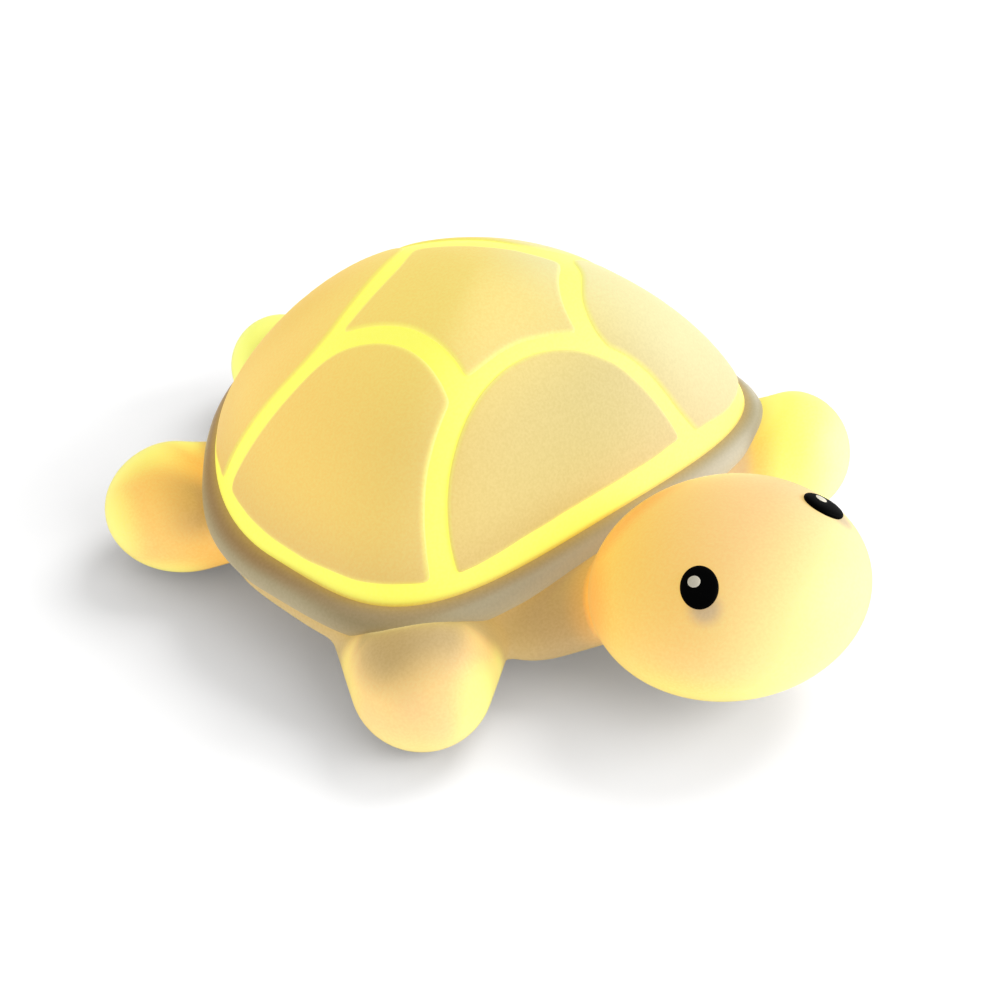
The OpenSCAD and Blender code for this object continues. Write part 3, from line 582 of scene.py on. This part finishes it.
def roughen(nodes, links, shader, fac, strength, depth_mm):
    bump = nodes.new("ShaderNodeBump")
    bump.inputs["Strength"].default_value = strength
    bump.inputs["Distance"].default_value = depth_mm * MM
    links.new(fac, bump.inputs["Height"])
    links.new(bump.outputs["Normal"], shader.inputs["Normal"])


def silicone(name, low, high, sheen=0.0, shine=0.3):
    """Soft silicone, lit by the glow that is painted on the piece, which also carries painted shade and painted
    highlights.
    """
    finish, nodes, links, shader, spot = new_finish(name)
    links.new(between(nodes, links, grain(nodes, links, spot, SPECK), low, high), shader.inputs["Base Color"])
    fine = grain(nodes, links, spot, FINE, 4)
    links.new(span(nodes, links, fine, *SILICONE_ROUGH), shader.inputs["Roughness"])
    roughen(nodes, links, shader, fine, 0.12, 0.12)
    shader.inputs["Specular IOR Level"].default_value = shine
    shader.inputs["Sheen Weight"].default_value = sheen
    shader.inputs["Sheen Roughness"].default_value = 0.3
    shader.inputs["Sheen Tint"].default_value = (1.0, 0.92, 0.45, 1)
    glow_and_shading = nodes.new("ShaderNodeAttribute")
    glow_and_shading.attribute_name = GLOW_AND_SHADING
    links.new(glow_and_shading.outputs["Color"], shader.inputs["Emission Color"])
    shader.inputs["Emission Strength"].default_value = 1.0
    return finish


def moulded(name, low, high, rough=(0.4, 0.55), scale=900, depth_mm=0.05):
    finish, nodes, links, shader, spot = new_finish(name)
    links.new(between(nodes, links, grain(nodes, links, spot, MOTTLE), low, high), shader.inputs["Base Color"])
    fine = grain(nodes, links, spot, scale, 4)
    links.new(span(nodes, links, fine, *rough), shader.inputs["Roughness"])
    roughen(nodes, links, shader, fine, 0.2, depth_mm)
    return finish


def metal(name, low, high, rough=(0.22, 0.4)):
    finish = moulded(name, low, high, rough, 1600, 0.03)
    shader_of(finish).inputs["Metallic"].default_value = 1.0
    return finish


def dress(piece, finish):
    piece.data.materials.clear()
    piece.data.materials.append(finish)


def stand_for(piece, body, slot, *nodes):
    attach(piece, body)
    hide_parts(*nodes)


# How the light inside shows through each skin, mixed with painted shade and painted highlights for the lamps
# outside: tints blended over soft steps across the piece.
# Each takes a spot's place in these sizes, and some what has been measured there.

def blended(a, b, t):
    return tuple(p + (q - p) * t for p, q in zip(a, b))


def across(x, y):
    """How far a spot lies to the right in the camera's view."""
    return 0.72 * x - 0.69 * y


def along_leg(at, turn, x, y):
    """A spot measured from a foot's middle: out along the leg, and across it towards the tail."""
    return turned(abs(x) - at[0], y - at[1], -turn)


def dome_glow_and_shading(x, y, z):
    # Painted light: paler towards the camera's right, as under the side lamp; painted shade at the foot, darker
    # and more orange where it sinks into the rim
    left, right, foot = (0.84, 0.83, 0.085), (0.86, 0.84, 0.12), (0.44, 0.24, 0.01)
    aside = across(x, y)
    tint = blended(left, right, seep(aside, -10, 45))
    edge = DOME_Z + RIM_LIP - 0.3 - 0.7 * (1 - seep(aside, -42, -26))
    return blended(foot, tint, seep(z, edge, edge + 1.6))


def scute_glow_and_shading(x, y, z, inset):
    # Painted light and shade: the plates pale towards the right, a painted highlight high on the far right flank,
    # deeper orange as painted shade on the far left and at the foot, a brighter crown; near their edges the
    # seams' glow bleeds in
    left, front, right = (0.80, 0.53, 0.085), (0.46, 0.37, 0.06), (0.60, 0.49, 0.22)
    foot, crown = (0.50, 0.30, 0.07), (0.86, 0.68, 0.12)
    far_right, far_left = (0.64, 0.62, 0.275), (0.70, 0.44, 0.02)
    aside, away = across(x, y), x + y
    tint = blended(left, front, seep(aside, -35, 25))
    tint = blended(tint, right, seep(aside, 14, 55))
    tint = blended(blended(tint, foot, 0.5), tint, seep(z, 20, 34))
    tint = blended(tint, crown, 0.6 * seep(z, 40, 57))
    far_top = seep(away, -14, 10) * (1 - seep(away, 32, 50)) * seep(aside, -2, 14)
    far_top *= 0.4 + 0.6 * seep(z, 28, 42)
    tint = blended(tint, far_right, 0.8 * far_top)
    tint = blended(tint, far_left, seep(away, -5, 20) * (1 - seep(aside, -35, -15)))
    return blended(dome_glow_and_shading(x, y, DOME_Z + DOME_H), tint, 0.35 + 0.65 * seep(inset, 0, 1.1))


def rim_painted_light(x, y, z):
    # The rim bead does not glow: its whole tint is painted light, paler to the right under the side lamp, with a
    # darker dip at the near left and painted shade in the crease under the dome
    left, middle, right, dip = (0.26, 0.21, 0.105), (0.27, 0.235, 0.15), (0.37, 0.34, 0.26), (0.18, 0.13, 0.05)
    crease_left, crease_mid, crease_right = (0.20, 0.095, 0.01), (0.225, 0.15, 0.06), (0.24, 0.20, 0.10)
    lip = (0.34, 0.19, 0.015)
    aside = across(x, y)
    tint = blended(left, middle, seep(aside, -30, 15))
    tint = blended(dip, tint, seep(abs(aside + 18), 3, 14))
    tint = blended(tint, right, seep(aside, 30, 52))
    crease = blended(crease_left, crease_mid, seep(aside, -40, -18))
    crease = blended(crease, crease_right, seep(aside, 6, 24))
    tint = blended(tint, crease, seep(z, 18.5 + 1.2 * seep(aside, -42, 10), 20.3))
    # A painted orange spill of the dome's light on the lip against the dome
    return blended(tint, lip, 0.7 * seep(z, 20.2, 20.8))


def rear_leg_glow_and_shading(out, back, z, off):
    # Painted shade under the shell near the rim (shade), and painted highlights along the leg's top, tip and
    # lower edge (bright)
    root, end, shade, bright = (0.80, 0.40, 0.03), (0.82, 0.46, 0.05), (0.40, 0.215, 0.03), (0.84, 0.78, 0.10)
    dark = (1 - seep(off, 2, 14)) * (1 - seep(abs(back + 9), 3, 11)) * seep(z, 11, 17)
    tint = blended(root, end, seep(out, -2, 8))
    tint = blended(tint, shade, dark)
    upper = max(seep(back, -4, 5) * seep(off, 3, 12), seep(back, 3, 10) * seep(off, 1, 6))
    edge = max(seep(out, 9, 15.5), upper, 0.9 * (1 - seep(z, 4, 11)) * seep(out, -2, 7))
    return blended(tint, bright, edge)


def front_leg_glow_and_shading(out, back, z):
    # Painted light and shade: paler low down as if lit from the floor, a faint darker patch on the front, a
    # painted highlight down the back edge, painted shadow of the shell over the top and root (dark), and a
    # painted highlight along the front edge (bright)
    plain, low, patch = (0.80, 0.50, 0.12), (0.83, 0.64, 0.12), (0.70, 0.42, 0.13)
    rear, dark, bright = (0.83, 0.60, 0.09), (0.38, 0.24, 0.055), (0.84, 0.84, 0.14)
    tint = blended(plain, low, (1 - seep(z, 3, 12)) * seep(out, 2, 9))
    spot = hypot(out - 10, back - 0.6, z - 15.6)
    tint = blended(tint, patch, 0.5 * (1 - seep(spot, 0.5, 5)))
    tint = blended(tint, rear, seep(back, 8, 12) * (1 - seep(z, 13, 18)))
    high = max(seep(z, 14, 21), 1 - seep(out, -2, 3))
    shade = (1 - seep(out - 0.55 * back, 3, 13)) * high * (1 - seep(-back, 5, 10)) * (1 - seep(back, 9.5, 12.5))
    tint = blended(tint, dark, max(shade, 1 - seep(out, -8, -2)))
    inner = 5 * (1 - seep(out, -3, 9))
    return blended(tint, bright, seep(-back, 4 + 1.3 * inner, 11 + 0.6 * inner) * seep(out, -9, -3))


def head_glow_and_shading(x, y, z):
    # The glow deepens to orange towards the body; painted light pales the head to the right, under the chin and
    # at the nose, and painted shade darkens the nape where it meets the neck
    left, middle, right = (0.80, 0.48, 0.022), (0.74, 0.445, 0.12), (0.76, 0.50, 0.27)
    chin, nose, nape = (0.82, 0.61, 0.022), (0.82, 0.82, 0.20), (0.79, 0.30, 0.005)
    aside = across(x, y)
    tint = blended(left, middle, seep(aside, 11, 50))
    tint = blended(tint, right, seep(aside, 48, 68))
    tint = blended(tint, chin, (1 - seep(z, 13.3, 23.2)) * seep(aside, 18, 30))
    tint = blended(tint, nose, seep(0.3 * x - y - 0.07 * (z - 20), 60.7, 90))
    return blended(tint, nape, max(1 - seep(aside, 17.8, 22.2), seep(y, -49, -44)))


def rear_glow_and_shading(x, y, z, off, belly):
    # Painted shade at the tail's root under the shell, paler towards its end
    tail_root, tail_end = (0.36, 0.22, 0.055), (0.80, 0.84, 0.12)
    out, back = along_leg(REAR_LEG, REAR_TURN, x, y)
    leg = seep(out, -10, -4) * (1 - seep(abs(back), 13.5, 19))
    tint = blended(belly, rear_leg_glow_and_shading(out, back, z, off), leg)
    tail = seep(y, 38, 43) * (1 - seep(abs(x), 14, 19))
    return blended(tint, blended(tail_root, tail_end, seep(off, 1, 8)), tail)


def front_glow_and_shading(x, y, z, off, belly):
    # The far front leg is painted as if lit by the side lamp: pale yellow, its root darker as painted shade
    root, inner, middle, end = (0.60, 0.38, 0.16), (0.80, 0.50, 0.05), (0.82, 0.82, 0.10), (0.82, 0.82, 0.24)
    out, back = along_leg(FRONT_LEG, FRONT_TURN, x, y)
    tint = blended(belly, front_leg_glow_and_shading(out, back, z), seep(abs(x), 24, 31) * seep(off, 2, 5))
    sunny = blended(inner, middle, seep(out, -8.5, -2))
    sunny = blended(root, sunny, seep(out, -11, -7.5))
    sunny = blended(sunny, end, seep(off, 14, 24))
    return blended(tint, sunny, seep(across(x, y), 30, 48) * seep(abs(x), 22, 30) * seep(off, 1, 4))


def body_glow_and_shading(x, y, z):
    # The belly is dim as painted shade under the rim, darker towards the camera's right
    belly_left, belly_right = (0.44, 0.28, 0.06), (0.29, 0.165, 0.035)
    neck_crease_shade, eye_shade, eye_shade_at = (0.55, 0.25, 0.015), (0.38, 0.26, 0.14), (17.4, -69.9, 30.2)
    belly = blended(belly_left, belly_right, seep(across(x, y), -20, 20))
    tint = (rear_glow_and_shading if y > 0 else front_glow_and_shading)(x, y, z, beyond(x, y), belly)
    if y < -30:
        near = in_ball(HEAD_AT, HEAD_R, x, y, z)
        # Painted shade in the crease round the head
        tint = blended(tint, neck_crease_shade, 0.7 * (1 - seep(near, 1.03, 1.25)) * seep(z, 8, 12))
        tint = blended(tint, head_glow_and_shading(x, y, z), 1 - seep(near, 1.02, 1.07))
        # A painted shadow under each eye stud
        for side in (1, -1):
            under = (Vector((side * x, y, z)) - Vector(eye_shade_at)).length
            tint = blended(tint, eye_shade, 0.85 * (1 - seep(under, 1, 3.8)))
    return tint


def paint(piece, tint, guide=None):
    colours = piece.data.color_attributes.new(GLOW_AND_SHADING, "FLOAT_COLOR", "POINT")
    for v in piece.data.vertices:
        more = [piece.data.attributes[guide].data[v.index].value] if guide else []
        colours.data[v.index].color = (*tint(*measured(v), *more), 1)


dome = make_dome()
scutes = make_scutes()
rim = make_rim()
body = make_body()
right_eye, left_eye = make_eye("eye_right", -1), make_eye("eye_left", 1)
dots = fuse("eye_dots", [make_dot(-1), make_dot(1)])
smooth(dots)

# The glow painted on each skin carries painted shade and painted highlights; the rim's tint is painted light
# alone
paint(dome, dome_glow_and_shading)
paint(scutes, scute_glow_and_shading, "inset")
paint(rim, rim_painted_light)
paint(body, body_glow_and_shading)

dress(dome, silicone("lit seam silicone", (0.40, 0.38, 0.16), (0.45, 0.43, 0.19)))
dress(scutes, silicone("lit scute silicone", (0.34, 0.30, 0.22), (0.39, 0.35, 0.26), shine=0.12))
dress(rim, silicone("rim silicone", (0.27, 0.24, 0.17), (0.31, 0.275, 0.20)))
dress(body, silicone("lit body silicone", (0.38, 0.33, 0.24), (0.43, 0.38, 0.28), sheen=0.8))
eye_black = moulded("eye black", (0.001, 0.001, 0.001), (0.003, 0.003, 0.003), (0.42, 0.55), 700, 0.02)
shader_of(eye_black).inputs["Specular IOR Level"].default_value = 0.01
dress(right_eye, eye_black)
dress(left_eye, eye_black)
eye_pale = moulded("eye dot", tone(226, 219, 200), tone(238, 232, 215), (0.4, 0.5))
# A faint painted glow on the pale dot, brighter than its own colour under the lamps
shader_of(eye_pale).inputs["Emission Color"].default_value = (1.0, 0.9, 0.65, 1)
shader_of(eye_pale).inputs["Emission Strength"].default_value = 0.16
dress(dots, eye_pale)

stand_for(dome, "lamp", "glow_silicone", "carapace")
stand_for(scutes, "lamp", "scute_silicone", "scutes")
stand_for(rim, "lamp", "rim_silicone", "shell_rim")
stand_for(body, "lamp", "body_silicone", "body_skin")
stand_for(right_eye, "lamp", "eye_black", "right_eye")
stand_for(left_eye, "lamp", "eye_black", "left_eye")
stand_for(dots, "lamp", "eye_dot", "eye_glints")

# The core, the pads and the flap keep their CAD shapes
base_plastic = moulded("base plastic", tone(212, 206, 192), tone(222, 217, 205))
core_finishes = {
    "base_cover": base_plastic,
    "power_button": base_plastic,
    "anti_slip_pads": moulded("pad rubber", tone(112, 107, 97), tone(126, 121, 110), (0.75, 0.9), 1100, 0.12),
    "core_case": moulded("case plastic", tone(232, 229, 220), tone(240, 237, 230)),
    "case_screws": metal("screw steel", tone(168, 168, 170), tone(190, 190, 192)),
    "board_screws": metal("board screw steel", tone(160, 160, 164), tone(186, 186, 190)),
    "diffuser": moulded("milk plastic", tone(244, 240, 226), tone(250, 247, 238), (0.45, 0.6), 1300, 0.04),
    "led_board": moulded("white board", tone(226, 226, 222), tone(238, 238, 234), (0.35, 0.5), 600, 0.03),
    "led_chips": moulded("light chip", tone(246, 224, 130), tone(252, 236, 160), (0.3, 0.45), 1500, 0.03),
    "led_pins": metal("pin brass", tone(190, 158, 70), tone(210, 178, 90)),
    "control_board": moulded("green board", tone(28, 84, 58), tone(40, 104, 74), (0.3, 0.5), 500, 0.04),
    "charging_socket": metal("socket steel", tone(186, 186, 190), tone(206, 206, 210), (0.2, 0.34)),
    "port_flap": moulded("flap silicone", tone(232, 212, 164), tone(240, 222, 178), (0.5, 0.64), 1500, 0.1),
    "switch_body": moulded("switch black", tone(26, 26, 27), tone(38, 38, 40)),
    "switch_plunger": moulded("plunger plastic", tone(222, 217, 206), tone(232, 228, 218)),
    "battery_cell": metal("cell foil", tone(188, 192, 198), tone(208, 212, 216), (0.3, 0.5)),
    "battery_tape": moulded("foam tape", tone(58, 58, 58), tone(76, 76, 76), (0.85, 0.95), 1800, 0.2),
    "battery_lead_red": moulded("lead red", tone(166, 32, 26), tone(186, 42, 34), (0.35, 0.5), 800, 0.03),
    "battery_lead_black": moulded("lead black", tone(22, 22, 22), tone(34, 34, 34), (0.35, 0.5), 800, 0.03),
    "battery_plug": moulded("plug plastic", tone(230, 226, 212), tone(240, 236, 224)),
    "battery_socket": moulded("socket plastic", tone(212, 208, 194), tone(222, 218, 206)),
}
for node, finish in core_finishes.items():
    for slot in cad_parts[node].material_slots:
        slot.material = finish

# Floor, light and camera, in metres and watts
FLOOR_SIZE, FLOOR_GREY = 6, (0.8, 0.8, 0.8, 1)
FLOOR_LIFT = {"From Min": 0.6, "From Max": 1.8, "To Min": 0.15, "To Max": 1.0}
SKY_LIGHT, SKY_SEEN = 0.3, 1.0
CENTRE = (0, 0, 0)
FLOOR_LAMPS = (("over_softbox", (1.5, 0.0, 1.8), CENTRE, 1.5, 28.5),
               ("front_softbox", (0.014, -1.6, 0.9), CENTRE, 1.5, 15),
               ("right_softbox", (1.2, -1.25, 0.7), CENTRE, 1.2, 24.5),
               ("ceiling_panel", (0, 0, 1.5), CENTRE, 6, 40))
SIDE_LAMP = ("side_softbox", (0.75, -0.72, 0.38), (0, 0, 0.02), 0.6, 9)
CAMERA_AT, CAMERA_TILT, CAMERA_TURN, CAMERA_ANGLE = (-0.2382, -0.23945, 0.2565), 53.97, -44.51, 25


def seen_rays(nodes, links):
    """Rays that show a surface as it is: straight to the camera, mirrored or through glass."""
    path = nodes.new("ShaderNodeLightPath")
    first, both = nodes.new("ShaderNodeMath"), nodes.new("ShaderNodeMath")
    first.operation = both.operation = "MAXIMUM"
    links.new(path.outputs["Is Camera Ray"], first.inputs[0])
    links.new(path.outputs["Is Glossy Ray"], first.inputs[1])
    links.new(first.outputs["Value"], both.inputs[0])
    links.new(path.outputs["Is Transmission Ray"], both.inputs[1])
    return both.outputs["Value"]


def make_floor():
    """A matte floor that is lifted to white further out, for the rays that see it."""
    let_go()
    bpy.ops.mesh.primitive_plane_add(size=FLOOR_SIZE, location=CENTRE)
    ground = just_made("floor")
    finish = bpy.data.materials.new("pale floor")
    finish.use_nodes = True
    nodes, links = finish.node_tree.nodes, finish.node_tree.links
    nodes.clear()
    out, both = nodes.new("ShaderNodeOutputMaterial"), nodes.new("ShaderNodeAddShader")
    matte, lift = nodes.new("ShaderNodeBsdfDiffuse"), nodes.new("ShaderNodeEmission")
    matte.inputs["Color"].default_value = FLOOR_GREY
    spot, away = nodes.new("ShaderNodeTexCoord"), nodes.new("ShaderNodeVectorMath")
    away.operation = "LENGTH"
    far, seen = nodes.new("ShaderNodeMapRange"), nodes.new("ShaderNodeMath")
    far.interpolation_type, seen.operation = "SMOOTHSTEP", "MULTIPLY"
    for key, value in FLOOR_LIFT.items():
        far.inputs[key].default_value = value
    links.new(spot.outputs["Object"], away.inputs[0])
    links.new(away.outputs["Value"], far.inputs["Value"])
    links.new(seen_rays(nodes, links), seen.inputs[0])
    links.new(far.outputs["Result"], seen.inputs[1])
    links.new(seen.outputs["Value"], lift.inputs["Strength"])
    links.new(matte.outputs["BSDF"], both.inputs[0])
    links.new(lift.outputs["Emission"], both.inputs[1])
    links.new(both.outputs["Shader"], out.inputs["Surface"])
    dress(ground, finish)
    ground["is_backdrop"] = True
    return ground


def make_sky():
    """A soft light from all round, which is plain white where it is seen."""
    sky = bpy.data.worlds.new("studio")
    scene.world = sky
    sky.use_nodes = True
    nodes, links = sky.node_tree.nodes, sky.node_tree.links
    nodes.clear()
    out, mix = nodes.new("ShaderNodeOutputWorld"), nodes.new("ShaderNodeMixShader")
    soft, white = nodes.new("ShaderNodeBackground"), nodes.new("ShaderNodeBackground")
    soft.inputs["Strength"].default_value = SKY_LIGHT
    white.inputs["Color"].default_value = (1, 1, 1, 1)
    white.inputs["Strength"].default_value = SKY_SEEN
    links.new(seen_rays(nodes, links), mix.inputs["Fac"])
    links.new(soft.outputs["Background"], mix.inputs[1])
    links.new(white.outputs["Background"], mix.inputs[2])
    links.new(mix.outputs["Shader"], out.inputs["Surface"])


def make_lamp(name, at, aim, size, power):
    let_go()
    bpy.ops.object.light_add(type="AREA", location=at)
    lamp = bpy.context.object
    lamp.name = name
    lamp.data.shape, lamp.data.size, lamp.data.energy = "DISK", size, power
    lamp.rotation_euler = (Vector(aim) - Vector(at)).to_track_quat("-Z", "Y").to_euler()
    return lamp


ground = make_floor()
make_sky()
floor_lamps = [make_lamp(*settings) for settings in FLOOR_LAMPS]
side_lamp = make_lamp(*SIDE_LAMP)

# The glow and the side light show on the night light alone, and the other lamps make its shadow on the floor
light_only, floor_only = bpy.data.collections.new("lamp pieces"), bpy.data.collections.new("floor alone")
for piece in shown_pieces():
    light_only.objects.link(piece)
floor_only.objects.link(ground)
for source in (dome, scutes, rim, body, side_lamp):
    source.light_linking.receiver_collection = light_only
for source in floor_lamps:
    source.light_linking.receiver_collection = floor_only

let_go()
bpy.ops.object.camera_add(location=CAMERA_AT, rotation=(radians(CAMERA_TILT), 0, radians(CAMERA_TURN)))
camera = bpy.context.object
camera.data.sensor_fit = "AUTO"
camera.data.angle = radians(CAMERA_ANGLE)
scene.camera = camera

scene.view_settings.view_transform = "Standard"
